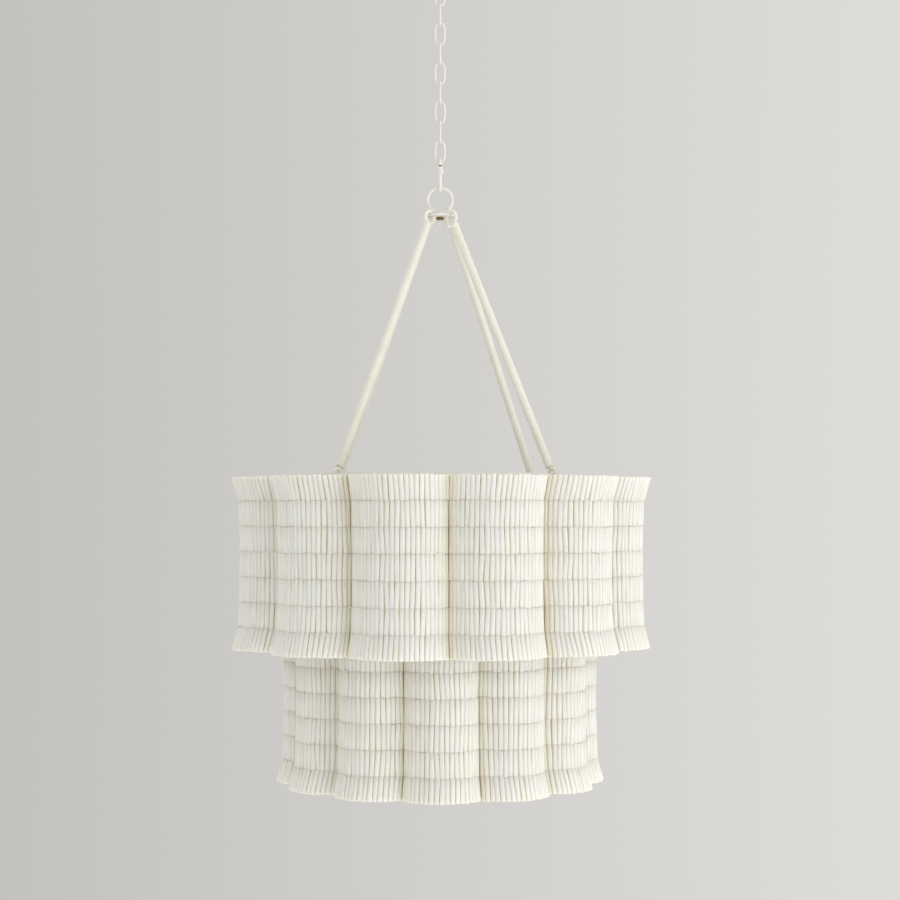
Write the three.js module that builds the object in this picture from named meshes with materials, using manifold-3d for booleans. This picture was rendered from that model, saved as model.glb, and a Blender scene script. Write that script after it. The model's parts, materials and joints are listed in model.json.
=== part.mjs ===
// Beaded chandelier: two scalloped tiers of white clay tubes, hung by four wrapped rods from a chain.
// Millimetres, +Z up. The origin is the middle of the face that lies against the ceiling.

import * as THREE from 'three';
import { mergeVertices } from 'three/addons/utils/BufferGeometryUtils.js';
import Module from 'manifold-3d';

const wasm = await Module();
wasm.setup();

// Clearances between pieces
const clearance = 0.3;
const threadClearance = 0.5;
const overrun = 2;

// Ceiling strap, its boss and the threaded nipple
const strapLength = 96;
const strapWidth = 18;
const strapThickness = 2.5;
const slotLength = 14;
const slotWidth = 4.6;
const slotEndMargin = 7;
const bossRadius = 8;
const bossDepth = 9;
const nippleRadius = 5;
const nippleGrip = 6;

// Canopy and the knurled collar that holds it up
const canopyRadius = 63.5;
const canopyDepth = 30;
const canopyWall = 1.2;
const canopyFlatRadius = 19;
const collarRadius = 16;
const collarHeight = 7;
const collarEdge = 1.4;

// Loop under the canopy
const barrelRadius = 10.7;
const barrelAboveFlat = 9;
const barrelBelowCollar = 2;
const barrelFloor = 4;
const loopWire = 3.8;
const loopBury = 0.95;

// Chain
const linkCount = 9;
const linkLength = 34.6;
const linkWidth = 16.7;
const linkWire = 2.95;

// Quick link with its sleeve nut
const quickLinkLength = 50.4;
const quickLinkWidth = 21.2;
const quickLinkWire = 4.6;
const quickNutRadius = 4.4;
const quickNutLength = 12;
const quickGap = 8;
const quickGapShown = 1.4;

// Hub: the standing ring, the lying ring with its cross bar, and the bolt that joins them
const hubRingRadius = 20.3;
const hubRingWire = 4.6;
const footRadius = 5;
const footDrop = 1;
const lyingRingRadius = 20;
const lyingRingWire = 4;
const crossBarWidth = 12;
const crossBarThickness = 3;
const boltRadius = 2.5;
const boltHeadRadius = 5.4;
const boltHeadHeight = 4;
const boltGrip = 4;

// Rods
const rodCount = 4;
const rodDrop = 378;
const rodWire = 3.6;
const upperEyeRadius = 8.8;
const lowerEyeRadius = 6.8;
const wrapRadius = 6;
const wrapEndGap = 1.2;
const bandLength = 5;
const bandRise = 0.6;

// Carrier ring, its spokes and the wires that drop to the lower tier
const carrierInset = 47.7;
const carrierWire = 6;
const carrierAboveRim = 1.4;
const spokeCount = 6;
const spokeWire = 5;
const dropWireCount = 4;
const dropWire = 5;

// Scalloped tiers of tubes
const lobeCount = 12;
const stepsPerLobe = 6;
const rowCount = 7;
const tubeDiameter = 6.4;
const ribDepth = 2.2;
const upperRibsPerLobe = 9;
const lowerRibsPerLobe = 7;
const rowPitch = 35.3;
const rimFlare = 9.3;
const waistSwell = 2.2;
const upperPeakRadius = 294.4;
const upperLobeDepth = 36.7;
const tierStep = 30.7;
const lowerLobeDepth = 28.3;
const tierDrop = 195;
const lowerTurnDegrees = 13;
const shadeWire = 5;
const shadeWireInset = 8;

// Lamp holder and lamps
const lampCount = 4;
const armWire = 5;
const boxRadius = 26;
const boxHeight = 26;
const boxWall = 1.6;
const inletRadius = 5;
const plateRadius = 62;
const plateThickness = 3;
const lampCircleRadius = 42;
const socketRadius = 12;
const socketLength = 42;
const bulbBaseRadius = 5.9;
const bulbBaseLength = 24;
const bulbNeckShown = 2;
const bulbRadius = 17.5;
const bulbGlassLength = 76;

// Facets of round pieces
const wireSides = 6;
const shadeWireSides = 4;
const eyeSteps = 12;
const ringSteps = 16;
const carrierSteps = 24;
const turnedSteps = 20;
const smallTurnedSteps = 12;
const domeSteps = 4;

// Radii of the shade, from the outside in
const upperValleyRadius = upperPeakRadius - upperLobeDepth;
const carrierRadius = upperValleyRadius - carrierInset;
const lowerPeakRadius = upperValleyRadius - tierStep;
const lowerValleyRadius = lowerPeakRadius - lowerLobeDepth;

// Heights, from the ceiling down
const linkPitch = linkLength - 2 * linkWire - clearance;
const quickInnerLength = quickLinkLength - 2 * quickLinkWire;
const bossBottom = -strapThickness - bossDepth;
const canopyFlat = -canopyDepth;
const collarTop = canopyFlat - clearance;
const barrelTop = canopyFlat + barrelAboveFlat;
const barrelBottom = collarTop - collarHeight - barrelBelowCollar;
const loopRadius = barrelRadius - loopWire / 2;
const loopCentre = barrelBottom - loopRadius + loopBury;
const loopSeat = loopCentre - loopRadius + loopWire / 2;
const firstLink = loopSeat + clearance + linkWire - linkLength / 2;
const lastLink = firstLink - (linkCount - 1) * linkPitch;
const quickInnerTop = lastLink - linkLength / 2 + linkWire + clearance;
const quickLinkCentre = quickInnerTop - quickInnerLength / 2;
const quickSeat = quickInnerTop - quickInnerLength;
const hubRingCentre = quickSeat + clearance - hubRingRadius + hubRingWire;
const footBottom = hubRingCentre - hubRingRadius - footDrop;
const crossBarTop = footBottom - clearance;
const lyingRingHeight = crossBarTop - crossBarThickness / 2;
const carrierHeight = lyingRingHeight - rodDrop;
const upperRim = carrierHeight - carrierAboveRim;
const lowerRim = upperRim - tierDrop;
const rimRowHeight = Math.sqrt(rowPitch ** 2 - rimFlare ** 2);
const tierHeight = 2 * rimRowHeight + (rowCount - 2) * rowPitch;

// Materials
function paint(name, color, roughness, metalness) {
  return () => new THREE.MeshStandardMaterial({ name, color, roughness, metalness });
}
const whitePaint = paint('white_paint', 0xe9e7df, 0.55, 0.1);
const whiteClay = paint('white_clay', 0xe6e3d8, 0.85, 0);
const creamWrap = paint('cream_wrap', 0xe4dfd0, 0.9, 0);
const whitePorcelain = paint('white_porcelain', 0xf0efe9, 0.4, 0);
const lampGlass = paint('lamp_glass', 0xf4ecd8, 0.15, 0);
const brass = paint('brass', 0x9a7232, 0.35, 0.9);

// A named mesh, added to its group
function addPiece(group, name, geometry, material) {
  const mesh = new THREE.Mesh(geometry, material());
  mesh.name = name;
  group.add(mesh);
  return mesh;
}

// Closed outlines in a plane, as lists of points that run anticlockwise
function offsetLoop(points, offset) {
  const count = points.length;
  return points.map((point, index) => {
    const before = point.clone().sub(points[(index + count - 1) % count]).normalize();
    const after = points[(index + 1) % count].clone().sub(point).normalize();
    const mitre = before.clone().add(after).normalize();
    const outward = new THREE.Vector2(mitre.y, -mitre.x);
    const stretch = 1 / mitre.dot(after);
    return point.clone().addScaledVector(outward, offset * stretch);
  });
}

// A round loop whose flats touch the circle of this radius
function circleLoop(radius, steps) {
  const reach = radius / Math.cos(Math.PI / steps);
  return Array.from({ length: steps }, (_, index) => {
    const angle = ((index + 0.5) * 2 * Math.PI) / steps;
    return new THREE.Vector2(Math.cos(angle), Math.sin(angle)).multiplyScalar(reach);
  });
}

// A long loop with round ends, standing along the second axis
function stadiumLoop(width, length, steps) {
  const straight = (length - width) / 2;
  return circleLoop(width / 2, steps).map((point) => {
    point.y += Math.sign(point.y) * straight;
    return point;
  });
}

// Outline of a tier: equal lobes, each one arc through two valleys and a peak
function scallopLoop(peakRadius, valleyRadius, steps = stepsPerLobe) {
  const halfLobe = Math.PI / lobeCount;
  const valleyAlong = valleyRadius * Math.cos(halfLobe);
  const valleyAside = valleyRadius * Math.sin(halfLobe);
  const arcCentre = (peakRadius ** 2 - valleyRadius ** 2) / (2 * (peakRadius - valleyAlong));
  const arcRadius = peakRadius - arcCentre;
  const halfSweep = Math.atan2(valleyAside, valleyAlong - arcCentre);
  const points = [];
  for (let lobe = 0; lobe < lobeCount; lobe += 1) {
    const peakAngle = (2 * lobe + 1) * halfLobe;
    for (let step = 0; step < steps; step += 1) {
      const sweep = halfSweep * ((2 * step) / steps - 1);
      const along = arcCentre + arcRadius * Math.cos(sweep);
      const aside = arcRadius * Math.sin(sweep);
      points.push(new THREE.Vector2(along, aside).rotateAround(new THREE.Vector2(), peakAngle));
    }
  }
  return points;
}

// The same outline with upright ribs on its face, their grooves at the valleys between the lobes
function ribbedLoop(peakRadius, valleyRadius, ribsPerLobe) {
  const tops = scallopLoop(peakRadius, valleyRadius, 2 * ribsPerLobe);
  const grooves = offsetLoop(tops, -ribDepth);
  return tops.map((top, index) => (index % 2 ? top : grooves[index]));
}

// A closed ring: a closed section of [offset, height] points carried round a loop
// lean moves every point away from the axis
function ringGeometry(loop, section, lean = 0) {
  const positions = [];
  const indices = [];
  const count = loop.length;
  for (const [offset, height] of section) {
    for (const point of offsetLoop(loop, offset)) {
      const moved = point.clone().setLength(point.length() + lean);
      positions.push(moved.x, moved.y, height);
    }
  }
  for (let band = 0; band < section.length; band += 1) {
    const here = band * count;
    const there = ((band + 1) % section.length) * count;
    for (let index = 0; index < count; index += 1) {
      const next = (index + 1) % count;
      indices.push(here + index, here + next, there + next);
      indices.push(here + index, there + next, there + index);
    }
  }
  const geometry = new THREE.BufferGeometry();
  geometry.setAttribute('position', new THREE.Float32BufferAttribute(positions, 3));
  geometry.setIndex(indices);
  geometry.computeVertexNormals();
  return geometry;
}

// Section of a round wire, whose corners lie on its own circle
function wireSection(wire, sides) {
  return Array.from({ length: sides }, (_, index) => {
    const angle = (index * 2 * Math.PI) / sides;
    return [(wire / 2) * Math.cos(angle), (wire / 2) * Math.sin(angle)];
  });
}

// A wire ring that lies flat, and the same ring stood up with its axis along Y
function wireLoop(loop, wire, sides = wireSides) {
  return ringGeometry(loop, wireSection(wire, sides));
}
function standingWireLoop(loop, wire) {
  return wireLoop(loop, wire).rotateX(Math.PI / 2);
}

// A straight wire between two points
function straightWire(start, end, wire, sides = wireSides) {
  const run = end.clone().sub(start);
  const geometry = new THREE.CylinderGeometry(wire / 2, wire / 2, run.length(), sides);
  const turn = new THREE.Quaternion().setFromUnitVectors(new THREE.Vector3(0, 1, 0), run.clone().normalize());
  const middle = start.clone().add(end).multiplyScalar(0.5);
  return geometry.applyQuaternion(turn).translate(middle.x, middle.y, middle.z);
}

// A turned piece from its [radius, height] outline, with its axis along Z
function turned(outline, steps = turnedSteps) {
  const points = outline.map(([radius, height]) => new THREE.Vector2(radius, height));
  return new THREE.LatheGeometry(points, steps).rotateX(Math.PI / 2);
}

// A plain round bar between two heights
function bar(radius, low, high, steps = smallTurnedSteps) {
  return turned([[0, low], [radius, low], [radius, high], [0, high]], steps);
}

// A closed solid for joining and cutting
function solid(geometry) {
  const bare = geometry.clone();
  bare.deleteAttribute('normal');
  bare.deleteAttribute('uv');
  const welded = mergeVertices(bare);
  const corners = welded.index.array;
  const kept = [];
  for (let index = 0; index < corners.length; index += 3) {
    const [a, b, c] = [corners[index], corners[index + 1], corners[index + 2]];
    if (a !== b && b !== c && c !== a) kept.push(a, b, c);
  }
  const vertProperties = new Float32Array(welded.attributes.position.array);
  return new wasm.Manifold(new wasm.Mesh({ numProp: 3, vertProperties, triVerts: new Uint32Array(kept) }));
}

// The geometry of a joined or cut solid
function geometryOf(shape) {
  const { vertProperties, triVerts } = shape.getMesh();
  const geometry = new THREE.BufferGeometry();
  geometry.setAttribute('position', new THREE.BufferAttribute(new Float32Array(vertProperties), 3));
  geometry.setIndex(new THREE.BufferAttribute(new Uint32Array(triVerts), 1));
  geometry.computeVertexNormals();
  return geometry;
}

// A point at a distance from the axis, an angle round it and a height
function polar(radius, angle, height) {
  return new THREE.Vector3(radius * Math.cos(angle), radius * Math.sin(angle), height);
}

// Ceiling strap: a bar with two slots for the box screws and a blind boss for the nipple
function ceilingStrap() {
  const halfLength = strapLength / 2;
  const halfWidth = strapWidth / 2;
  const outline = new THREE.Shape([
    new THREE.Vector2(-halfLength, -halfWidth),
    new THREE.Vector2(halfLength, -halfWidth),
    new THREE.Vector2(halfLength, halfWidth),
    new THREE.Vector2(-halfLength, halfWidth),
  ]);
  for (const side of [-1, 1]) {
    const centre = side * (halfLength - slotEndMargin - slotLength / 2);
    const slot = stadiumLoop(slotWidth, slotLength, eyeSteps);
    outline.holes.push(new THREE.Path(slot.map((point) => new THREE.Vector2(centre + point.y, -point.x))));
  }
  const plate = new THREE.ExtrudeGeometry(outline, { depth: strapThickness, bevelEnabled: false });
  plate.translate(0, 0, -strapThickness);
  const boss = bar(bossRadius, bossBottom, -strapThickness / 2, turnedSteps);
  const bore = bar(nippleRadius + clearance, bossBottom - overrun, bossBottom + nippleGrip + clearance);
  return geometryOf(solid(plate).add(solid(boss)).subtract(solid(bore)));
}

// Canopy: a spun dome with a flat middle and a hole that passes the loop
function canopyOutline() {
  const holeRadius = barrelRadius + threadClearance;
  const rim = -clearance;
  const spread = canopyRadius - canopyFlatRadius;
  const drop = canopyDepth + rim;
  const outer = [];
  const inner = [];
  for (let step = 0; step <= domeSteps; step += 1) {
    const angle = (step / domeSteps) * (Math.PI / 2);
    outer.push([canopyFlatRadius + spread * Math.cos(angle), rim - drop * Math.sin(angle)]);
    const innerSpread = spread - canopyWall;
    const innerDrop = drop - canopyWall;
    inner.push([canopyFlatRadius + innerSpread * Math.cos(angle), rim - innerDrop * Math.sin(angle)]);
  }
  const hole = [[holeRadius, canopyFlat], [holeRadius, canopyFlat + canopyWall]];
  const outline = [...outer, ...hole, ...inner.reverse()];
  return [...outline, outline[0]];
}

// Collar: the ring nut under the canopy
function collarOutline() {
  const bore = barrelRadius + threadClearance;
  const low = collarTop - collarHeight;
  return [
    [bore, low],
    [collarRadius - collarEdge, low],
    [collarRadius, low + collarEdge],
    [collarRadius, collarTop - collarEdge],
    [collarRadius - collarEdge, collarTop],
    [bore, collarTop],
    [bore, low],
  ];
}

// Canopy loop: a barrel with a blind bore for the nipple, and a ring below it
function canopyLoop() {
  const barrel = bar(barrelRadius, barrelBottom, barrelTop, turnedSteps);
  const ring = standingWireLoop(circleLoop(loopRadius, ringSteps), loopWire).rotateZ(Math.PI / 2);
  ring.translate(0, 0, loopCentre);
  const bore = bar(nippleRadius + clearance, barrelBottom + barrelFloor, barrelTop + overrun);
  return geometryOf(solid(barrel).add(solid(ring)).subtract(solid(bore)));
}

// Quick link: an oval with a gap in its front side, which the sleeve nut bridges
const quickSide = (quickLinkWidth - quickLinkWire) / 2;
const quickNutTop = quickLinkCentre + quickNutLength;
const quickGapTop = quickNutTop + quickGapShown;
function quickLink() {
  const oval = stadiumLoop(quickLinkWidth - quickLinkWire, quickLinkLength - quickLinkWire, eyeSteps);
  const ring = standingWireLoop(oval, quickLinkWire).rotateZ(Math.PI / 2).translate(0, 0, quickLinkCentre);
  const cutter = new THREE.BoxGeometry(2 * quickLinkWire, 2 * quickLinkWire, quickGap);
  cutter.translate(0, -quickSide, quickGapTop - quickGap / 2);
  return geometryOf(solid(ring).subtract(solid(cutter)));
}
function quickNutOutline() {
  const bore = quickLinkWire / 2 + clearance;
  const low = quickNutTop - quickNutLength;
  return [
    [bore, low],
    [quickNutRadius, low],
    [quickNutRadius, quickNutTop],
    [bore, quickNutTop],
    [bore, low],
  ];
}

// Hub: a standing ring on a tapped foot
function hubRing() {
  const ring = standingWireLoop(circleLoop(hubRingRadius - hubRingWire / 2, ringSteps), hubRingWire);
  ring.translate(0, 0, hubRingCentre);
  const footTop = hubRingCentre - hubRingRadius + hubRingWire;
  const foot = bar(footRadius, footBottom, footTop);
  const bore = bar(boltRadius + clearance, footBottom - overrun, footBottom + boltGrip + clearance);
  return geometryOf(solid(ring).add(solid(foot)).subtract(solid(bore)));
}

// Lying ring with a cross bar that the bolt goes through
function lyingRing() {
  const ring = wireLoop(circleLoop(lyingRingRadius, ringSteps), lyingRingWire);
  ring.translate(0, 0, lyingRingHeight);
  const cross = new THREE.BoxGeometry(2 * lyingRingRadius, crossBarWidth, crossBarThickness);
  cross.translate(0, 0, lyingRingHeight);
  const bore = bar(boltRadius + clearance, lyingRingHeight - crossBarThickness, crossBarTop + overrun);
  return geometryOf(solid(ring).add(solid(cross)).subtract(solid(bore)));
}

// Bolt: a round head under the cross bar and a shank up into the foot
function hubBolt() {
  const headTop = lyingRingHeight - crossBarThickness / 2 - clearance;
  const headLow = headTop - boltHeadHeight;
  const tip = footBottom + boltGrip;
  const shank = boltRadius;
  const outline = [
    [0, headLow],
    [boltHeadRadius, headLow],
    [boltHeadRadius, headTop],
    [shank, headTop],
    [shank, tip],
    [0, tip],
  ];
  return turned(outline, smallTurnedSteps);
}

// Rods run from the middle of the lying ring's wire to the middle of the carrier ring's wire
const rodRun = new THREE.Vector2(carrierRadius - lyingRingRadius, -rodDrop);
const rodLength = rodRun.length();
const rodLean = Math.atan2(rodRun.x, rodDrop);
const upperEyeDrop = upperEyeRadius - rodWire / 2 - lyingRingWire / 2 - clearance;
const lowerEyeRise = lowerEyeRadius - rodWire / 2 - carrierWire / 2 - clearance;
const upperEye = -upperEyeDrop;
const lowerEye = -rodLength + lowerEyeRise;
const wrapTop = upperEye - upperEyeRadius - rodWire / 2 - wrapEndGap;
const wrapLow = lowerEye + lowerEyeRadius + rodWire / 2 + wrapEndGap;

// Rod core: an eye at each end of a straight wire
function rodCore() {
  const top = standingWireLoop(circleLoop(upperEyeRadius, eyeSteps), rodWire).translate(0, 0, upperEye);
  const foot = standingWireLoop(circleLoop(lowerEyeRadius, eyeSteps), rodWire).translate(0, 0, lowerEye);
  const shank = bar(rodWire / 2, lowerEye + lowerEyeRadius, upperEye - upperEyeRadius, wireSides);
  return geometryOf(solid(top).add(solid(foot)).add(solid(shank)));
}

// Rod wrap: a sleeve of wound cord with a thicker band at each end
function rodWrapOutline() {
  const bore = rodWire / 2 + clearance;
  const band = wrapRadius + bandRise;
  return [
    [bore, wrapLow],
    [band, wrapLow],
    [band, wrapLow + bandLength],
    [wrapRadius, wrapLow + bandLength],
    [wrapRadius, wrapTop - bandLength],
    [band, wrapTop - bandLength],
    [band, wrapTop],
    [bore, wrapTop],
    [bore, wrapLow],
  ];
}

// Tiers. The rows of tubes lean out at both rims and swell a little from the waist
function tierLean(rim) {
  const low = rim - tierHeight;
  const waist = rim - tierHeight / 2;
  const straightHalf = tierHeight / 2 - rimRowHeight;
  return (height) => {
    const swell = waistSwell * Math.min(1, Math.abs(height - waist) / straightHalf) ** 2;
    const intoRim = Math.max(0, height - (rim - rimRowHeight), low + rimRowHeight - height);
    return swell + (rimFlare * intoRim) / rimRowHeight;
  };
}

// Heights of the seams between rows, rims included
function seams(rim) {
  const heights = [rim, rim - rimRowHeight];
  for (let row = 1; row < rowCount - 1; row += 1) heights.push(rim - rimRowHeight - row * rowPitch);
  return [...heights, rim - tierHeight];
}

// One row of tubes, sewn side by side. Each rib stands for three of them
function tubeRow(ribs, outline, high, low, lean) {
  const depth = high - low - clearance;
  const band = new THREE.Shape(ribs);
  band.holes.push(new THREE.Path(offsetLoop(outline, -tubeDiameter)));
  const geometry = new THREE.ExtrudeGeometry(band, { depth, bevelEnabled: false });
  geometry.translate(0, 0, low + clearance / 2);
  const corners = geometry.attributes.position;
  for (let index = 0; index < corners.count; index += 1) {
    const corner = new THREE.Vector2(corners.getX(index), corners.getY(index));
    corner.setLength(corner.length() + lean(corners.getZ(index)));
    corners.setXY(index, corner.x, corner.y);
  }
  geometry.computeVertexNormals();
  return geometry;
}

// A scalloped wire behind the tubes, at one height of its tier
const shadeWireOffset = -(tubeDiameter + clearance + shadeWire / 2);
function scallopWire(outline, height, lean) {
  const section = wireSection(shadeWire, shadeWireSides);
  const placed = section.map(([offset, rise]) => [offset + shadeWireOffset, height + rise]);
  return ringGeometry(outline, placed, lean(height));
}

// How far the valleys of a scalloped wire lie from the axis, at its middle and at its inner side
function wireValley(outline, height, lean) {
  const middle = offsetLoop(outline, shadeWireOffset)[0].length() + lean(height);
  const inner = offsetLoop(outline, shadeWireOffset - shadeWire / 2)[0].length() + lean(height);
  return { middle, inner };
}

// Carrier ring with its spokes out to the valleys of the upper wire
function carrierRing(valley, wireHeight) {
  const ring = wireLoop(circleLoop(carrierRadius, carrierSteps), carrierWire).translate(0, 0, carrierHeight);
  let joined = solid(ring);
  const reach = valley - clearance;
  for (let spoke = 0; spoke < spokeCount; spoke += 1) {
    const angle = (spoke * 2 * Math.PI) / spokeCount;
    const inner = polar(carrierRadius, angle, carrierHeight);
    const outer = polar(reach, angle, wireHeight);
    joined = joined.add(solid(straightWire(inner, outer, spokeWire)));
  }
  return geometryOf(joined);
}

// Lamp holder: four arms, a wiring box with its cable inlet, and the plate that the sockets hang from
const boxLow = carrierHeight - boxHeight + armWire / 2;
const plateLow = boxLow - plateThickness;
function lampHolder() {
  const top = boxLow + boxHeight;
  const inside = boxRadius - boxWall;
  const box = turned([
    [0, plateLow],
    [plateRadius, plateLow],
    [plateRadius, boxLow],
    [boxRadius, boxLow],
    [boxRadius, top],
    [inletRadius, top],
    [inletRadius, top - boxWall],
    [inside, top - boxWall],
    [inside, boxLow],
    [0, boxLow],
  ]);
  let joined = solid(box);
  const reach = carrierRadius - carrierWire / 2 - clearance;
  for (let arm = 0; arm < lampCount; arm += 1) {
    const angle = (arm * 2 * Math.PI) / lampCount;
    const inner = polar(boxRadius - boxWall / 2, angle, carrierHeight);
    const outer = polar(reach, angle, carrierHeight);
    joined = joined.add(solid(straightWire(inner, outer, armWire)));
  }
  return geometryOf(joined);
}

// Socket: a turned cup, open downwards, with its floor against the plate
const socketTop = plateLow - clearance;
const socketMouth = socketTop - socketLength;
const boreRadius = bulbBaseRadius + threadClearance;
const boreFloor = socketMouth + bulbBaseLength - bulbNeckShown + clearance;
function socketOutline() {
  return [
    [0, boreFloor],
    [boreRadius, boreFloor],
    [boreRadius, socketMouth],
    [socketRadius, socketMouth],
    [socketRadius, socketTop],
    [0, socketTop],
  ];
}

// Bulb: a screw base up in the socket and a torpedo of glass below it
const bulbTop = boreFloor - clearance;
function bulbOutline() {
  const shoulder = bulbTop - bulbBaseLength;
  const outlineShares = [[0.42, 0], [0.55, 0.1], [0.9, 0.28], [1, 0.42], [0.86, 0.66], [0.5, 0.86], [0, 1]];
  const glass = outlineShares.map(([wide, deep]) => [wide * bulbRadius, shoulder - deep * bulbGlassLength]);
  return [[0, bulbTop], [bulbBaseRadius, bulbTop], [bulbBaseRadius, shoulder], ...glass].reverse();
}

// The assembly
const chandelier = new THREE.Group();

// Ceiling fitting
const nipple = bar(nippleRadius, barrelBottom + barrelFloor + clearance, bossBottom + nippleGrip);
addPiece(chandelier, 'ceiling_strap', ceilingStrap(), whitePaint);
addPiece(chandelier, 'threaded_nipple', nipple, brass);
addPiece(chandelier, 'canopy', turned(canopyOutline().reverse()), whitePaint);
addPiece(chandelier, 'canopy_collar', turned(collarOutline()), whitePaint);
addPiece(chandelier, 'canopy_loop', canopyLoop(), whitePaint);

// Chain, from the top link down, every other link turned a quarter
for (let index = 0; index < linkCount; index += 1) {
  const oval = stadiumLoop(linkWidth - linkWire, linkLength - linkWire, eyeSteps);
  const link = addPiece(chandelier, `chain_link_${index + 1}`, standingWireLoop(oval, linkWire), whitePaint);
  link.rotation.z = (index % 2) * (Math.PI / 2);
  link.position.z = firstLink - index * linkPitch;
}
addPiece(chandelier, 'quick_link', quickLink(), whitePaint);
const quickNut = turned(quickNutOutline(), smallTurnedSteps).translate(0, -quickSide, 0);
addPiece(chandelier, 'quick_link_nut', quickNut, whitePaint);

// Hub
addPiece(chandelier, 'hub_ring', hubRing(), whitePaint);
addPiece(chandelier, 'hub_lying_ring', lyingRing(), whitePaint);
addPiece(chandelier, 'hub_bolt', hubBolt(), brass);

// Rods, at the diagonals
const core = rodCore();
const wrap = turned(rodWrapOutline(), eyeSteps);
for (let index = 0; index < rodCount; index += 1) {
  const angle = ((index + 0.5) * 2 * Math.PI) / rodCount;
  const rod = new THREE.Group();
  rod.position.copy(polar(lyingRingRadius, angle, lyingRingHeight));
  rod.rotation.set(0, -rodLean, angle, 'ZYX');
  addPiece(rod, `rod_core_${index + 1}`, core, whitePaint);
  addPiece(rod, `rod_wrap_${index + 1}`, wrap, creamWrap);
  chandelier.add(rod);
}

// Shade frame and tiers
const lowerTurn = THREE.MathUtils.degToRad(lowerTurnDegrees);
const tiers = [
  {
    name: 'upper',
    rim: upperRim,
    outline: scallopLoop(upperPeakRadius, upperValleyRadius),
    ribs: ribbedLoop(upperPeakRadius, upperValleyRadius, upperRibsPerLobe),
    turn: 0,
  },
  {
    name: 'lower',
    rim: lowerRim,
    outline: scallopLoop(lowerPeakRadius, lowerValleyRadius),
    ribs: ribbedLoop(lowerPeakRadius, lowerValleyRadius, lowerRibsPerLobe),
    turn: lowerTurn,
  },
];
for (const { name, rim, outline, ribs, turn } of tiers) {
  const tier = new THREE.Group();
  tier.rotation.z = turn;
  const lean = tierLean(rim);
  const heights = seams(rim);
  const wires = [['top', rim - shadeWireInset], ['bottom', rim - tierHeight + shadeWireInset]];
  for (const [place, height] of wires) {
    addPiece(tier, `${name}_${place}_wire`, scallopWire(outline, height, lean), whitePaint);
  }
  for (let row = 0; row < rowCount; row += 1) {
    const geometry = tubeRow(ribs, outline, heights[row], heights[row + 1], lean);
    addPiece(tier, `${name}_tube_row_${row + 1}`, geometry, whiteClay);
  }
  chandelier.add(tier);
}
const [upper, lower] = tiers;
const upperWireHeight = upper.rim - shadeWireInset;
const upperValley = wireValley(upper.outline, upperWireHeight, tierLean(upper.rim));
addPiece(chandelier, 'carrier_ring', carrierRing(upperValley.inner, upperWireHeight), whitePaint);

// Drop wires, from under the carrier ring to the valleys of the lower top wire
const lowerWireHeight = lower.rim - shadeWireInset;
const lowerValley = wireValley(lower.outline, lowerWireHeight, tierLean(lower.rim));
const carrierUnderside = carrierHeight - (carrierWire / 2) * Math.cos(Math.PI / wireSides);
const lowerWireTop = lowerWireHeight + shadeWire / 2;
const dropLean = Math.atan2(carrierRadius - lowerValley.middle, carrierUnderside - lowerWireTop);
const endGap = clearance + (dropWire / 2) * Math.sin(dropLean);
for (let index = 0; index < dropWireCount; index += 1) {
  const angle = lowerTurn + (index * 2 * Math.PI) / dropWireCount + (2 * Math.PI) / lobeCount;
  const top = polar(carrierRadius, angle, carrierUnderside - endGap);
  const low = polar(lowerValley.middle, angle, lowerWireTop + endGap);
  addPiece(chandelier, `drop_wire_${index + 1}`, straightWire(top, low, dropWire), whitePaint);
}

// Lamps
addPiece(chandelier, 'lamp_holder', lampHolder(), whitePaint);
for (let index = 0; index < lampCount; index += 1) {
  const angle = ((index + 0.5) * 2 * Math.PI) / lampCount;
  const place = polar(lampCircleRadius, angle, 0);
  const cup = turned(socketOutline(), smallTurnedSteps);
  const glass = turned(bulbOutline(), smallTurnedSteps);
  addPiece(chandelier, `lamp_socket_${index + 1}`, cup, whitePorcelain).position.copy(place);
  addPiece(chandelier, `lamp_bulb_${index + 1}`, glass, lampGlass).position.copy(place);
}

export default chandelier;
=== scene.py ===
import json
import math

import bmesh
import bpy
from mathutils import Matrix, Vector


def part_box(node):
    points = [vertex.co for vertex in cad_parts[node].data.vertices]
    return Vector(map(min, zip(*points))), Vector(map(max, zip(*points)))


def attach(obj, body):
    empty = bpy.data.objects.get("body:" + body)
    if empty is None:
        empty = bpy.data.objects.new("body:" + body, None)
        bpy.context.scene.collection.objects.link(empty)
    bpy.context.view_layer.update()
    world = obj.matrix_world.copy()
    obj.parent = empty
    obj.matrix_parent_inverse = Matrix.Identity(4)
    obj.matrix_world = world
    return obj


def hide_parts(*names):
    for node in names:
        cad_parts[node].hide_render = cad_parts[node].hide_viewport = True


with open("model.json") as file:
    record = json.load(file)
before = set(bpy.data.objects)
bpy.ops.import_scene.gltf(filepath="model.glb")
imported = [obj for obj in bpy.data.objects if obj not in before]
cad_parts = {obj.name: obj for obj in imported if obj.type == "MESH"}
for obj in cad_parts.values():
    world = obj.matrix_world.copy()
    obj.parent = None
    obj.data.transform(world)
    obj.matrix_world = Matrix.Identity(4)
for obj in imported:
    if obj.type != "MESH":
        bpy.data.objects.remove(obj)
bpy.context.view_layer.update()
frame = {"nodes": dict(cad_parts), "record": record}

scene = bpy.context.scene


# The room: a plain pale floor far below the ceiling that the chandelier hangs on, a large soft lamp
# on the right, a weaker one on the left and one low in front, as light comes up from a floor. The
# camera stands level with the middle of the upper tier, a little to the left.
picture_size = 900
focal_pixels = 1900
axis_column = 440.1
horizon_row = 512
sensor_width = 36
view_distance = 2.755
view_height = -0.818
view_turn = math.radians(-2.6)

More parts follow.
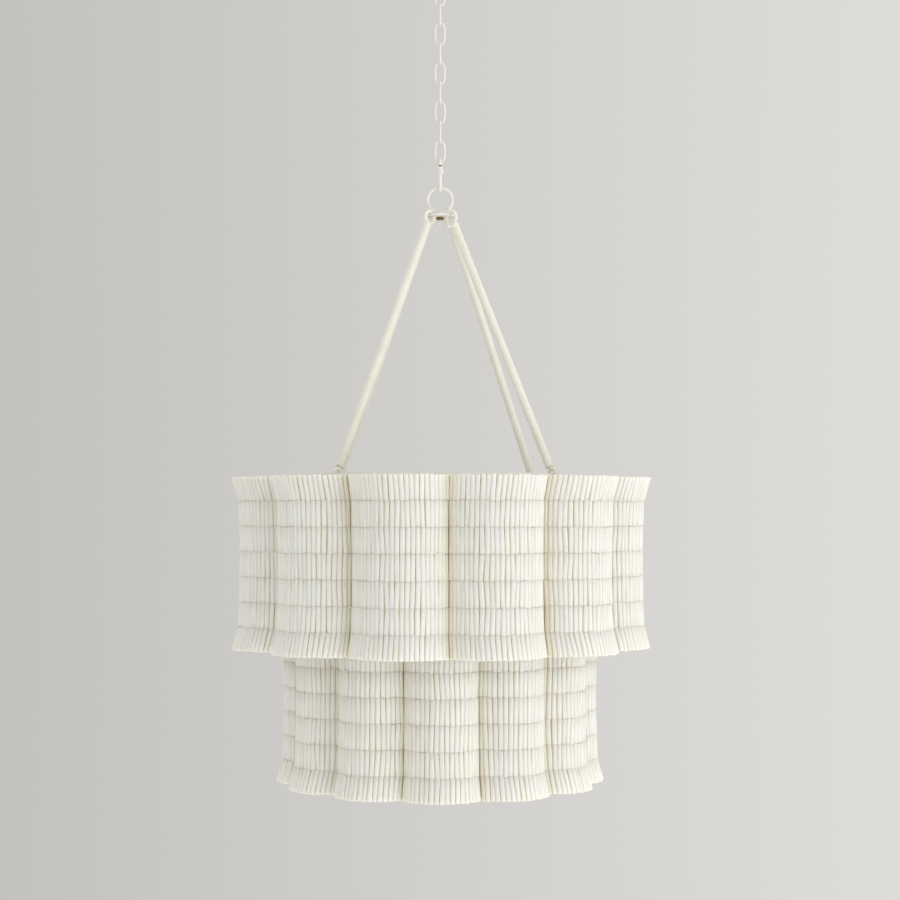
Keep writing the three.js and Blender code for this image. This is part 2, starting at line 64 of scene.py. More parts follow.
camera = bpy.data.objects.new("camera", bpy.data.cameras.new("camera"))
scene.collection.objects.link(camera)
camera.data.sensor_width = sensor_width
camera.data.lens = sensor_width * focal_pixels / picture_size
camera.data.shift_x = (picture_size / 2 - axis_column) / picture_size
camera.data.shift_y = (horizon_row - picture_size / 2) / picture_size
camera.location = (math.sin(view_turn) * view_distance, -math.cos(view_turn) * view_distance, view_height)
camera.rotation_euler = (math.pi / 2, 0, view_turn)
scene.camera = camera
scene.view_settings.view_transform = "Standard"


def soft_lamp(name, place, aim, width, height, power, colour):
    lamp = bpy.data.objects.new(name, bpy.data.lights.new(name, "AREA"))
    lamp.data.shape = "RECTANGLE"
    lamp.data.size = width
    lamp.data.size_y = height
    lamp.data.energy = power
    lamp.data.color = colour
    lamp.location = place
    lamp.rotation_euler = (Vector(aim) - Vector(place)).to_track_quat("-Z", "Y").to_euler()
    scene.collection.objects.link(lamp)


shade_middle = (0, 0, -0.95)
lower_front = (0, -0.1, -1.05)
soft_lamp("lamp_right", (2.6, -1.9, -1.1), shade_middle, 3.4, 2.6, power=50, colour=(0.985, 0.99, 1.0))
soft_lamp("lamp_left", (-1.9, -3.0, -1.1), shade_middle, 2.4, 2.4, power=13, colour=(0.975, 0.985, 1.0))
soft_lamp("lamp_low", (0.2, -1.7, -2.7), lower_front, 2.4, 1.4, power=7, colour=(1.0, 0.985, 0.95))


def plug(tree, value, socket):
    """Links a field, a socket or a node's first output into a socket, or sets it to a plain value."""
    value = getattr(value, "socket", value)
    if isinstance(value, bpy.types.Node):
        value = value.outputs[0]
    if isinstance(value, bpy.types.NodeSocket):
        tree.links.new(value, socket)
    else:
        socket.default_value = value


def add(tree, kind, inputs=None, **settings):
    """Adds a node with its settings, and fills the inputs given by name or by place."""
    made = tree.nodes.new(kind)
    for setting, value in settings.items():
        setattr(made, setting, value)
    for place, value in (inputs or {}).items():
        plug(tree, value, made.inputs[place])
    return made


def ramp(tree, value, begin, finish, low=0.0, high=1.0, **settings):
    """Low at the value where the ramp begins, and high where it ends."""
    return add(tree, "ShaderNodeMapRange", {"Value": value, "From Min": begin, "From Max": finish,
               "To Min": low, "To Max": high}, **settings)


def mix(tree, share, low, high, **settings):
    """A mixed colour."""
    return add(tree, "ShaderNodeMix", {0: share, 6: low, 7: high}, data_type="RGBA", **settings).outputs[2]


# The backdrop has painted light: it is a little brighter on the right. Lamps and world alone light the
# chandelier.
left_backdrop, right_backdrop = (0.54, 0.53, 0.505, 1), (0.74, 0.73, 0.705, 1)
left_reach, right_reach = -0.20, 0.30
world_light = (0.77, 0.77, 0.76, 1)
scene.world = bpy.data.worlds.new("soft_room")
scene.world.use_nodes = True
air = scene.world.node_tree
air.nodes.clear()
sideways = add(air, "ShaderNodeSeparateXYZ", {0: add(air, "ShaderNodeTexCoord").outputs["Generated"]})
across = ramp(air, sideways.outputs["X"], left_reach, right_reach)
backdrop = mix(air, across, left_backdrop, right_backdrop)
path = add(air, "ShaderNodeLightPath").outputs
mirrored = add(air, "ShaderNodeMath", {0: path["Is Glossy Ray"], 1: path["Is Transmission Ray"]},
               operation="MAXIMUM")
seen = add(air, "ShaderNodeMath", {0: path["Is Camera Ray"], 1: mirrored}, operation="MAXIMUM")
shown = add(air, "ShaderNodeBackground", {"Color": backdrop})
light = add(air, "ShaderNodeBackground", {"Color": world_light})
choice = add(air, "ShaderNodeMixShader", {0: seen, 1: light, 2: shown})
add(air, "ShaderNodeOutputWorld", {0: choice})

floor_radius = 2.3
floor_height = -4.8
floor_tone = (0.72, 0.715, 0.70, 1)
fade_start = 0.45
disc = bmesh.new()
bmesh.ops.create_circle(disc, cap_ends=True, segments=96, radius=floor_radius)
bmesh.ops.translate(disc, verts=disc.verts, vec=(0, 0, floor_height))
floor = bpy.data.objects.new("floor", bpy.data.meshes.new("floor"))
disc.to_mesh(floor.data)
disc.free()
scene.collection.objects.link(floor)
floor_paint = bpy.data.materials.new("floor_paint")
floor_paint.use_nodes = True
tree = floor_paint.node_tree
matt = tree.nodes["Principled BSDF"]
matt.inputs["Base Color"].default_value = floor_tone
matt.inputs["Roughness"].default_value = 0.9
spot = add(tree, "ShaderNodeTexCoord").outputs["Object"]
flat = add(tree, "ShaderNodeVectorMath", {0: spot, 1: (1, 1, 0)}, operation="MULTIPLY")
reach = add(tree, "ShaderNodeVectorMath", {0: flat}, operation="LENGTH")
fade = ramp(tree, reach.outputs["Value"], floor_radius * fade_start, floor_radius,
            interpolation_type="SMOOTHSTEP")
clear = add(tree, "ShaderNodeBsdfTransparent")
melt = add(tree, "ShaderNodeMixShader", {0: fade, 1: matt, 2: clear})
plug(tree, melt, tree.nodes["Material Output"].inputs["Surface"])
floor.data.materials.append(floor_paint)


# White clay tubes: short hollow tubes rolled from fine white clay, fired without a glaze, so each
# one is a little different in length, width and colour. They are chalky, warmer and darker at their ends,
# with painted warm shade on their sides and in the valleys between the lobes.
class Field:
    """A socket of a node tree. Sums of fields build the tree's Math nodes."""

    def __init__(self, tree, socket):
        self.tree = tree
        self.socket = socket

    def step(self, operation, *others):
        made = add(self.tree, "ShaderNodeMath", dict(enumerate((self, *others))), operation=operation)
        return Field(self.tree, made)

    def __add__(self, other):
        return self.step("ADD", other)

    def __sub__(self, other):
        return self.step("SUBTRACT", other)

    def __mul__(self, other):
        return self.step("MULTIPLY", other)

    def __truediv__(self, other):
        return self.step("DIVIDE", other)


def node_group(name, family, outputs, inputs):
    """A new tree of nodes with sockets given by kind and label, its start node and its end node."""
    made = bpy.data.node_groups.new(name, family + "NodeTree")
    for way, sockets in (("OUTPUT", outputs), ("INPUT", inputs)):
        for kind, labels in sockets.items():
            for label in labels:
                made.interface.new_socket(label, in_out=way, socket_type="NodeSocket" + kind)
    return made, made.nodes.new("NodeGroupInput"), made.nodes.new("NodeGroupOutput")


# Mottle: broad clouds and fine grain, as every hand-made or painted surface here has
mottle, start, end = node_group("mottle", "Shader", {"Float": ("Cloud", "Grain")},
                                {"Float": ("Cloud Size", "Grain Size", "Seed")})
place = add(mottle, "ShaderNodeTexCoord").outputs["Object"]
for label in ("Cloud", "Grain"):
    scale = Field(mottle, start.outputs[label + " Size"]).step("POWER", -1.0)
    cloud = add(mottle, "ShaderNodeTexNoise", {"Vector": place, "W": start.outputs["Seed"], "Scale": scale,
                "Detail": 3.0, "Roughness": 0.55}, noise_dimensions="4D")
    plug(mottle, cloud, end.inputs[label])

noise_span = (0.3, 0.7)


def finish_of(name, low, high, roughness, bump, cloud_size, grain_size, seed, metallic=0.0):
    """A material whose colour drifts between two tones, with fine grain in its height and gloss."""
    made = bpy.data.materials.new(name)
    made.use_nodes = True
    tree = made.node_tree
    skin = tree.nodes["Principled BSDF"]
    skin.inputs["Metallic"].default_value = metallic
    group = add(tree, "ShaderNodeGroup", {"Cloud Size": cloud_size, "Grain Size": grain_size, "Seed": seed},
                node_tree=mottle)
    tone = mix(tree, ramp(tree, group.outputs["Cloud"], *noise_span), low, high)
    gloss = ramp(tree, group.outputs["Grain"], *noise_span, *roughness)
    relief = add(tree, "ShaderNodeBump", {"Height": group.outputs["Grain"], "Distance": bump,
                 "Strength": 1.0})
    for label, value in (("Base Color", tone), ("Roughness", gloss), ("Normal", relief)):
        plug(tree, value, skin.inputs[label])
    return made


white_clay = finish_of(
    "white_clay", low=(0.87, 0.862, 0.81, 1), high=(0.91, 0.908, 0.88, 1), roughness=(0.62, 0.78),
    bump=0.00006, cloud_size=0.03, grain_size=0.0009, seed=1.0)
tree = white_clay.node_tree
clay_skin = tree.nodes["Principled BSDF"]
colour = clay_skin.inputs["Base Color"].links[0].from_socket
untouched = (1.0, 1.0, 1.0, 1)
# Each tone, real or painted shade: the attribute that says where it lies, where it begins, its full share and
# its tone
for where, begin, share, tone_or_painted_shade in (("tint", 0.0, 1.0, (0.975, 0.965, 0.93, 1)),
                                   # end: the clay is warmer and darker towards each tube's ends
                                   ("end", 0.95, 0.6, (0.90, 0.83, 0.69, 1)),
                                   # crease: painted warm shade near the valleys between the lobes
                                   ("crease", 0.0, 1.0, (0.96, 0.91, 0.78, 1)),
                                   # flank: painted warm shade on each tube's sides, in the grooves between
                                   # tubes
                                   ("flank", 0.0, 1.0, (0.97, 0.935, 0.85, 1))):
    spread = add(tree, "ShaderNodeAttribute", attribute_name=where)
    layer = mix(tree, ramp(tree, spread.outputs["Fac"], begin, 1.0, 0.0, share), untouched, tone_or_painted_shade)
    colour = mix(tree, 1.0, colour, layer, blend_type="MULTIPLY")
plug(tree, colour, clay_skin.inputs["Base Color"])
clay_skin.inputs["Subsurface Weight"].default_value = 0.7
clay_skin.inputs["Subsurface Radius"].default_value = (0.0068, 0.0062, 0.0053)
clay_skin.inputs["Subsurface Scale"].default_value = 1.0


def geometry_tree(name, **inputs):
    return node_group(name, "Geometry", {"Geometry": ("Geometry",)}, inputs)


def vector_step(tree, operation, *values):
    made = add(tree, "ShaderNodeVectorMath", operation=operation)
    for place, value in enumerate(values):
        plug(tree, value, made.inputs["Scale" if operation == "SCALE" and place == 1 else place])
    return made.outputs["Value" if operation == "LENGTH" else "Vector"]


def position(tree):
    return add(tree, "GeometryNodeInputPosition")


def moved_to(tree, geometry, place):
    return add(tree, "GeometryNodeSetPosition", {"Geometry": geometry, "Position": place})


def component(tree, letter):
    """One component of each point's position."""
    return Field(tree, add(tree, "ShaderNodeSeparateXYZ", {0: position(tree)}).outputs[letter])


def upward(tree, height):
    """A vector that points straight up by this height."""
    return add(tree, "ShaderNodeCombineXYZ", {"Z": height})


def end_tree(tree, geometry, start, end):
    """Turns all of it round the axis if the tree has a Turn, makes copies real and adds the Finish."""
    if "Turn" in start.outputs:
        geometry = add(tree, "GeometryNodeTransform", {"Geometry": geometry,
                       "Rotation": upward(tree, start.outputs["Turn"])})
    real = add(tree, "GeometryNodeRealizeInstances", {"Geometry": geometry})
    coated = add(tree, "GeometryNodeSetMaterial", {"Geometry": real, "Material": start.outputs["Finish"]})
    plug(tree, coated, end.inputs[0])


def grow(name, tree, **values):
    """Runs a tree of geometry nodes with these inputs, and keeps its result as a plain mesh."""
    seedling = bpy.data.objects.new("seedling", bpy.data.meshes.new("seedling"))
    scene.collection.objects.link(seedling)
    modifier = seedling.modifiers.new("grow", "NODES")
    modifier.node_group = tree
    for item in tree.interface.items_tree:
        if item.in_out == "INPUT":
            modifier[item.identifier] = values[item.name.lower().replace(" ", "_")]
    bpy.context.view_layer.update()
    grown = seedling.evaluated_get(bpy.context.evaluated_depsgraph_get())
    mesh = bpy.data.meshes.new_from_object(grown)
    mesh.name = name
    bpy.data.objects.remove(seedling)
    piece = bpy.data.objects.new(name, mesh)
    scene.collection.objects.link(piece)
    return piece


bodies = frame["record"]["behaviour"]["bodies"]
body_of_node = {node: body for body, nodes in bodies.items() for node in nodes}


def dress(piece, slot, *nodes):
    """The piece stands for these CAD nodes and rides with them, and the nodes are hidden; the slot is not
    used.
    """
    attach(piece, body_of_node[nodes[0]])
    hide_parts(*nodes)


# The outline of a tier: twelve equal lobes, each one arc about a centre that lies off the axis.
# In polar form an arc's distance from the axis follows from the angle to the middle of its lobe.
fine_steps = 24
outline, start, end = geometry_tree("scalloped_outline", Int=("Lobes", "Points Per Lobe"),
                                    Float=("Arc Centre", "Arc Radius"))
lobes, arc_centre, arc_radius = (Field(outline, start.outputs[label])
                                 for label in ("Lobes", "Arc Centre", "Arc Radius"))
ring = add(outline, "GeometryNodeCurvePrimitiveCircle", {"Resolution": lobes * fine_steps, "Radius": 1.0})
angle = component(outline, "Y").step("ARCTAN2", component(outline, "X"))
shared_turn = add(outline, "ShaderNodeMath", {0: math.tau, 1: lobes}, operation="DIVIDE")
sector = Field(outline, shared_turn)
off_peak = (angle + math.tau).step("FLOORED_MODULO", sector) - sector * 0.5
aside = arc_centre * off_peak.step("SINE")
distance = arc_centre * off_peak.step("COSINE") + (arc_radius * arc_radius - aside * aside).step("SQRT")
shaped = moved_to(outline, ring, vector_step(outline, "SCALE", position(outline), distance))
spaced = add(outline, "GeometryNodeResampleCurve", {"Curve": shaped,
             "Count": lobes * start.outputs["Points Per Lobe"]})
plug(outline, spaced, end.inputs[0])


def scalloped(tree, start, points):
    """The tier's outline in another tree, with this many points to a lobe."""
    made = add(tree, "GeometryNodeGroup", {"Points Per Lobe": points}, node_tree=outline)
    for label in ("Lobes", "Arc Centre", "Arc Radius"):
        plug(tree, start.outputs[label], made.inputs[label])
    return made


# Where the tubes meet at a seam, the sewing pulls them a little sideways and up or down. Both rows
# at a seam, and the thread between them, drift by the same amount.
close_drift = 34.0
sideways_drift = 0.0078
upright_drift = 0.0016
outward_drift = 0.0012
drift, start, end = node_group("seam_drift", "Geometry", {"Vector": ("Point",)},
                               {"Vector": ("Seam Point", "Along", "Outward"), "Float": ("Amount",)})
noise = add(drift, "ShaderNodeTexNoise", {"Vector": start.outputs["Seam Point"], "Scale": close_drift,
            "Detail": 1.5})
wander = vector_step(drift, "SUBTRACT", noise.outputs["Color"], (0.5, 0.5, 0.5))
parts = add(drift, "ShaderNodeSeparateXYZ", {0: wander}).outputs
along, outward, upright = (Field(drift, parts[letter]) * size * start.outputs["Amount"] for letter, size in (
                           ("X", sideways_drift), ("Y", outward_drift), ("Z", upright_drift)))
moved = start.outputs["Seam Point"]
for shift in (vector_step(drift, "SCALE", start.outputs["Along"], along),
              vector_step(drift, "SCALE", start.outputs["Outward"], outward), upward(drift, upright)):
    moved = vector_step(drift, "ADD", moved, shift)
plug(drift, moved, end.inputs[0])


def seam_point(tree, height, lean, amount):
    """The curve's own point, moved out by the lean, up to a seam, and along with the seam's drift."""
    radial = vector_step(tree, "NORMALIZE", position(tree))
    out = vector_step(tree, "ADD", position(tree), vector_step(tree, "SCALE", radial, lean))
    raised = vector_step(tree, "ADD", out, upward(tree, height))
    tangent = add(tree, "GeometryNodeInputTangent")
    normal = vector_step(tree, "CROSS_PRODUCT", tangent, (0.0, 0.0, 1.0))
    moved = add(tree, "GeometryNodeGroup", {"Seam Point": raised, "Along": tangent, "Outward": normal,
                "Amount": amount}, node_tree=drift)
    return moved, tangent


# One row of tubes: a tube at every point of the outline, from its place at the lower seam to its
# place at the upper one. The tube is a rounded wall swept round its bore.
tube_sides = 16
fullness = 4.6
rows, start, end = geometry_tree(
    "tube_row", Int=("Lobes", "Tubes Per Lobe", "Seed"), Float=(
        "Arc Centre", "Arc Radius", "Top", "Bottom", "Top Lean", "Bottom Lean", "Top Drift", "Bottom Drift",
        "Diameter", "Bore", "Rounding", "Seam Gap", "Turn"), Material=("Finish",))
diameter, bore, top = (Field(rows, start.outputs[label]) for label in ("Diameter", "Bore", "Top"))
nominal = top - start.outputs["Bottom"]
wall = add(rows, "GeometryNodeCurvePrimitiveQuadrilateral", {"Width": (diameter - bore) * 0.5,
           "Height": nominal})
soft_wall = add(rows, "GeometryNodeFilletCurve", {"Curve": wall, "Count": 1,
                "Radius": start.outputs["Rounding"]}, mode="POLY")
unit_path = add(rows, "GeometryNodeCurvePrimitiveCircle", {"Resolution": tube_sides, "Radius": 1.0})
across, ahead = (component(rows, letter).step("ABSOLUTE").step("POWER", fullness) for letter in "XY")
fuller = (across + ahead).step("POWER", -1.0 / fullness) * (diameter + bore) * 0.25
round_path = moved_to(rows, unit_path, vector_step(rows, "SCALE", position(rows), fuller))
swept = add(rows, "GeometryNodeCurveToMesh", {"Curve": round_path, "Profile Curve": soft_wall})


def mark(geometry, name, value, kind="FLOAT"):
    """Keeps a value on the geometry by name, for a later step or for the clay's tones and painted shade."""
    return add(rows, "GeometryNodeStoreNamedAttribute", {"Geometry": geometry, "Name": name, "Value": value},
               data_type=kind)


def marked(name, kind):
    return add(rows, "GeometryNodeInputNamedAttribute", {"Name": name}, data_type=kind)


def rise(value, begin):
    """Nothing up to the beginning, then up to one at one."""
    return ramp(rows, value, begin, 1.0)


flank_start = 0.72
valley_start = 0.84
flat_end = 0.3
off_centre = component(rows, "X").step("ABSOLUTE") * 2.0 / diameter
# Painted shade: the flank mask picks out each tube's sides, where the clay paints warm shade into the
# grooves.
tube = mark(swept, "flank", rise(off_centre, flank_start))
tube = mark(tube, "end", component(rows, "Z").step("ABSOLUTE") * 2.0 / nominal)
facing = add(rows, "ShaderNodeSeparateXYZ", {0: add(rows, "GeometryNodeInputNormal")})
slope = Field(rows, facing.outputs["Z"]).step("ABSOLUTE")
is_side = add(rows, "FunctionNodeCompare", {0: slope, 1: flat_end}, operation="LESS_THAN")
tube = add(rows, "GeometryNodeSetShadeSmooth", {"Geometry": tube, "Shade Smooth": False})
tube = add(rows, "GeometryNodeSetShadeSmooth", {"Geometry": tube, "Selection": is_side,
           "Shade Smooth": True})
(high, tangent), (low, tangent) = (
    seam_point(rows, *(start.outputs[label] for label in (seam, seam + " Lean", seam + " Drift")))
    for seam in ("Top", "Bottom"))


def scatter(low, high, seed, kind="FLOAT"):
    """A random value for each point, from the row's own seed."""
    made = add(rows, "FunctionNodeRandomValue", {}, data_type=kind)
    limits = [socket for socket in made.inputs if socket.enabled and socket.name in ("Min", "Max")]
    plug(rows, low, limits[0])
    plug(rows, high, limits[1])
    plug(rows, Field(rows, start.outputs["Seed"]) * seeds_per_row + seed, made.inputs["Seed"])
    return [socket for socket in made.outputs if socket.enabled][0]


seeds_per_row = 7
tilt = 0.0007
nudge = 0.0004
narrow, wide = 1.06, 1.13
short, long = 0.986, 1.006
crooked = scatter((-tilt, -tilt, -tilt), (tilt, tilt, tilt), 1, "FLOAT_VECTOR")
axis = vector_step(rows, "ADD", vector_step(rows, "SUBTRACT", high, low), crooked)
centre = vector_step(rows, "SCALE", vector_step(rows, "ADD", high, low), 0.5)
centre = vector_step(rows, "ADD", centre, scatter((-nudge,) * 3, (nudge,) * 3, 2, "FLOAT_VECTOR"))
length = Field(rows, vector_step(rows, "LENGTH", axis)) - start.outputs["Seam Gap"]
size = add(rows, "ShaderNodeCombineXYZ", {"X": scatter(narrow, wide, 3), "Y": 1.0,
           "Z": length * scatter(short, long, 4) / nominal})
stand = add(rows, "FunctionNodeAlignRotationToVector", {"Vector": axis}, axis="Z")
turned = add(rows, "FunctionNodeAlignRotationToVector", {"Rotation": stand, "Vector": tangent},
             axis="X", pivot_axis="Z")
lobe_share = component(rows, "Y").step("ARCTAN2", component(rows, "X")) / math.tau * start.outputs["Lobes"]
off_middle = (lobe_share.step("FRACT") - 0.5).step("ABSOLUTE") * 2.0
# Painted shade: the crease mask picks out the tubes near the valleys between lobes, where the clay paints
# warm shade.
line = mark(scalloped(rows, start, start.outputs["Tubes Per Lobe"]), "crease", rise(off_middle, valley_start))
line = mark(line, "tint", scatter(0.0, 1.0, 5))
line = mark(line, "turn", turned, "QUATERNION")
line = mark(line, "size", size, "FLOAT_VECTOR")
placed = moved_to(rows, line, centre)
set_out = add(rows, "GeometryNodeInstanceOnPoints", {"Points": placed, "Instance": tube,
              "Rotation": marked("turn", "QUATERNION"), "Scale": marked("size", "FLOAT_VECTOR")})
end_tree(rows, set_out, start, end)


# The two tiers: seven rows of tubes each, sewn row to row, and tied to the frame wires at the rims.
# A tier stands out a little above and below its waist, and its two end rows lean out like a frill.
lobe_count = 12
row_count = 7
flare_height = 0.03405
rim_flare = 0.0093
waist_swell = 0.0022
face_inset = 0.0009
rim_inset = 0.0016
rim_drift = 0.3
seam_gap = -0.0001
tube_diameter = 0.0062
tube_bore = 0.0026
tube_rounding = 0.0004
tiers = {
    "upper": {"peak": 0.2944, "valley": 0.2577, "tubes": 26, "turn": 0.0},
    "lower": {"peak": 0.2270, "valley": 0.1987, "tubes": 20, "turn": math.radians(13)},
}


def lobe_arc(peak, valley):
    """The arc through a peak and the valleys beside it: its centre's distance and its radius."""
    half = math.pi / lobe_count
    centre = (peak ** 2 - valley ** 2) / (2 * (peak - valley * math.cos(half)))
    return centre, peak - centre


def tier_lean(height, sizes):
    """How far the tubes stand out at a height."""
    waist = (sizes["rim_high"] + sizes["rim_low"]) / 2
    straight_half = (sizes["rim_high"] - sizes["rim_low"]) / 2 - flare_height
    swell = waist_swell * min(1, abs(height - waist) / straight_half) ** 2
    into_rim = max(0, height - (sizes["rim_high"] - flare_height), sizes["rim_low"] + flare_height - height)
    return swell + rim_flare * into_rim / flare_height


for number, (tier, sizes) in enumerate(tiers.items()):
    top_row, bottom_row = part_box(f"{tier}_tube_row_1"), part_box(f"{tier}_tube_row_{row_count}")
    arc_middle, arc_reach = lobe_arc(sizes["peak"], sizes["valley"])
    sizes.update(rim_high=top_row[1].z, rim_low=bottom_row[0].z, arc_middle=arc_middle, arc_reach=arc_reach,
                 tube_line=arc_reach - face_inset - tube_diameter / 2, seams=[])
    for row in range(1, row_count + 1):
        low, high = (corner.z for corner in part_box(f"{tier}_tube_row_{row}"))
        sizes["seams"].append(low)
        first_row, last_row = row == 1, row == row_count
        low += rim_inset * last_row
        piece = grow(
            f"{tier}_tubes_{row}", rows, lobes=lobe_count, tubes_per_lobe=sizes["tubes"],
            arc_centre=arc_middle, arc_radius=sizes["tube_line"], top=high, bottom=low,
            top_lean=tier_lean(high, sizes), bottom_lean=tier_lean(low, sizes), diameter=tube_diameter,
            bore=tube_bore, rounding=tube_rounding, seam_gap=seam_gap, turn=sizes["turn"],
            top_drift=rim_drift if first_row else 1.0, bottom_drift=rim_drift if last_row else 1.0,
            seed=10 * number + row, finish=white_clay)
        dress(piece, "white_clay", f"{tier}_tube_row_{row}")


# Sewing thread: tan cotton that runs along each seam between two rows of tubes. It shows as short
# stitches on the front of the seam, with dark dips between them where it passes inside.
tan_thread = finish_of(
    "tan_thread", low=(0.68, 0.56, 0.38, 1), high=(0.89, 0.83, 0.71, 1), roughness=(0.80, 0.92),
    bump=0.00006, cloud_size=0.011, grain_size=0.0004, seed=2.0)


def round_sweep(tree, line, radius, sides, caps=False):
    """A round thread, cord or wire along a line of the tree."""
    profile = add(tree, "GeometryNodeCurvePrimitiveCircle", {"Resolution": sides, "Radius": radius})
    return add(tree, "GeometryNodeCurveToMesh", {"Curve": line, "Profile Curve": profile, "Fill Caps": caps})


points_per_tube = 2
thread_sides = 5
stitches, start, end = geometry_tree(
    "seam_stitches", Int=("Lobes", "Tubes Per Lobe", "Seed"), Float=(
        "Arc Centre", "Arc Radius", "Height", "Lean", "Front", "Dip", "Thread Radius", "Turn"),
    Material=("Finish",))
along_seam, tangent = seam_point(stitches, start.outputs["Height"], start.outputs["Lean"], 1.0)
index = Field(stitches, add(stitches, "GeometryNodeInputIndex"))
loose = add(stitches, "FunctionNodeRandomValue", {"Seed": start.outputs["Seed"]}, data_type="FLOAT")
inside = index.step("FLOORED_MODULO", points_per_tube) * start.outputs["Dip"] * loose.outputs[1]
face = vector_step(stitches, "CROSS_PRODUCT", tangent, (0.0, 0.0, 1.0))
out = vector_step(stitches, "SCALE", face, Field(stitches, start.outputs["Front"]) - inside)
points = Field(stitches, start.outputs["Tubes Per Lobe"]) * points_per_tube
laid = moved_to(stitches, scalloped(stitches, start, points), vector_step(stitches, "ADD", along_seam, out))
end_tree(stitches, round_sweep(stitches, laid, start.outputs["Thread Radius"], thread_sides), start, end)

thread_radius = 0.0004
thread_dip = 0.0007
first_thread_seed = 40
for number, (tier, sizes) in enumerate(tiers.items()):
    for row, height in enumerate(sizes["seams"][:-1]):
        piece = grow(
            f"{tier}_seam_thread_{row + 1}", stitches, lobes=lobe_count, tubes_per_lobe=sizes["tubes"],
            arc_centre=sizes["arc_middle"], arc_radius=sizes["tube_line"], height=height,
            lean=tier_lean(height, sizes), front=tube_diameter / 2 - thread_radius, dip=thread_dip,
            thread_radius=thread_radius, turn=sizes["turn"], seed=first_thread_seed + 10 * number + row,
            finish=tan_thread)
        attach(piece, "shade")


# Frame wires of the shade: four scalloped steel wires behind the tubes, near both rims of each tier,
# bent to the twelve lobes, welded closed and powder coated white. The rim rows are tied to them.
white_paint = finish_of(
    "white_paint", low=(0.76, 0.74, 0.685, 1), high=(0.82, 0.805, 0.755, 1), roughness=(0.38, 0.58),
    bump=0.00005, cloud_size=0.025, grain_size=0.0007, seed=3.0)
shade_wire = 0.005
wire_inset = 0.0092
wire_from_rim = 0.008
wire_points = 24
wire_sides = 10

bent, start, end = geometry_tree(
    "scalloped_wire", Int=("Lobes", "Points Per Lobe"),
    Float=("Arc Centre", "Arc Radius", "Height", "Lean", "Wire Radius", "Turn"), Material=("Finish",))
undrifted = seam_point(bent, start.outputs["Height"], start.outputs["Lean"], 0.0)[0]
laid = moved_to(bent, scalloped(bent, start, start.outputs["Points Per Lobe"]), undrifted)
end_tree(bent, round_sweep(bent, laid, start.outputs["Wire Radius"], wire_sides), start, end)

for tier, sizes in tiers.items():
    for place, height in (("top", sizes["rim_high"] - wire_from_rim),
                          ("bottom", sizes["rim_low"] + wire_from_rim)):
        piece = grow(
            f"{tier}_{place}_frame", bent, lobes=lobe_count, points_per_lobe=wire_points,
            arc_centre=sizes["arc_middle"], arc_radius=sizes["arc_reach"] - wire_inset, height=height,
            lean=tier_lean(height, sizes), wire_radius=shade_wire / 2, turn=sizes["turn"], finish=white_paint)
        dress(piece, "white_paint", f"{tier}_{place}_wire")


# Carrier ring and drop wires: a round steel ring that the rods hook on, with six welded spokes out to
# the upper frame wire, and four straight wires down to the lower tier. All are powder coated white.
def drawn_wire(lines, radius, closed=False, sides=12):
    """A mesh of round wires along these lines of points."""
    curve = bpy.data.curves.new("wire", "CURVE")
    curve.dimensions = "3D"
    curve.bevel_depth = radius
    curve.bevel_resolution = sides // 4
    curve.use_fill_caps = True
    for line in lines:
        spline = curve.splines.new("POLY")
        spline.points.add(len(line) - 1)
        spline.use_cyclic_u = closed
        for point, corner in zip(spline.points, line):
            point.co = (*corner, 1)
    model = bpy.data.objects.new("wire", curve)
    scene.collection.objects.link(model)
    bpy.context.view_layer.update()
    mesh = bpy.data.meshes.new_from_object(model.evaluated_get(bpy.context.evaluated_depsgraph_get()))
    bpy.data.objects.remove(model)
    return mesh


def make_piece(name, material, meshes, smooth_angle=math.radians(40)):
    """One object from several meshes, with one material and its sharp edges kept sharp."""
    shape = bmesh.new()
    for mesh in meshes:
        shape.from_mesh(mesh)
        bpy.data.meshes.remove(mesh)
    bmesh.ops.recalc_face_normals(shape, faces=shape.faces)
    whole = bpy.data.meshes.new(name)
    shape.to_mesh(whole)
    shape.free()
    whole.materials.clear()
    whole.materials.append(material)
    whole.polygons.foreach_set("use_smooth", [True] * len(whole.polygons))
    whole.polygons.foreach_set("material_index", [0] * len(whole.polygons))
    whole.set_sharp_from_angle(angle=smooth_angle)
    made = bpy.data.objects.new(name, whole)
    scene.collection.objects.link(made)
    return made


def arc_points(centre, radius, begin, finish, steps, across=(1, 0, 0), up=(0, 0, 1)):
    """Points along a round arc, in the plane of two directions."""
    centre, across, up = Vector(centre), Vector(across), Vector(up)
    return [centre + radius * (math.cos(angle) * across + math.sin(angle) * up)
            for angle in (begin + (finish - begin) * step / steps for step in range(steps + 1))]


def wire_ring(height, radius, wire, steps, across=(1, 0, 0), up=(0, 0, 1)):
    """A mesh of a closed ring of wire about the axis, its centre at this height."""
    line = arc_points((0, 0, height), radius, 0, math.tau, steps, across, up)[:-1]
    return drawn_wire([line], wire / 2, closed=True)


def painted(name, node, *meshes):
    """A powder coated piece in place of one CAD node."""
    dress(make_piece(name, white_paint, meshes), "white_paint", node)


def around(radius, angle, height):
    return Vector((radius * math.cos(angle), radius * math.sin(angle), height))


def wire_reach(sizes):
    """How far out a tier's upper frame wire runs in a valley."""
    return sizes["valley"] - wire_inset + tier_lean(sizes["rim_high"] - wire_from_rim, sizes)


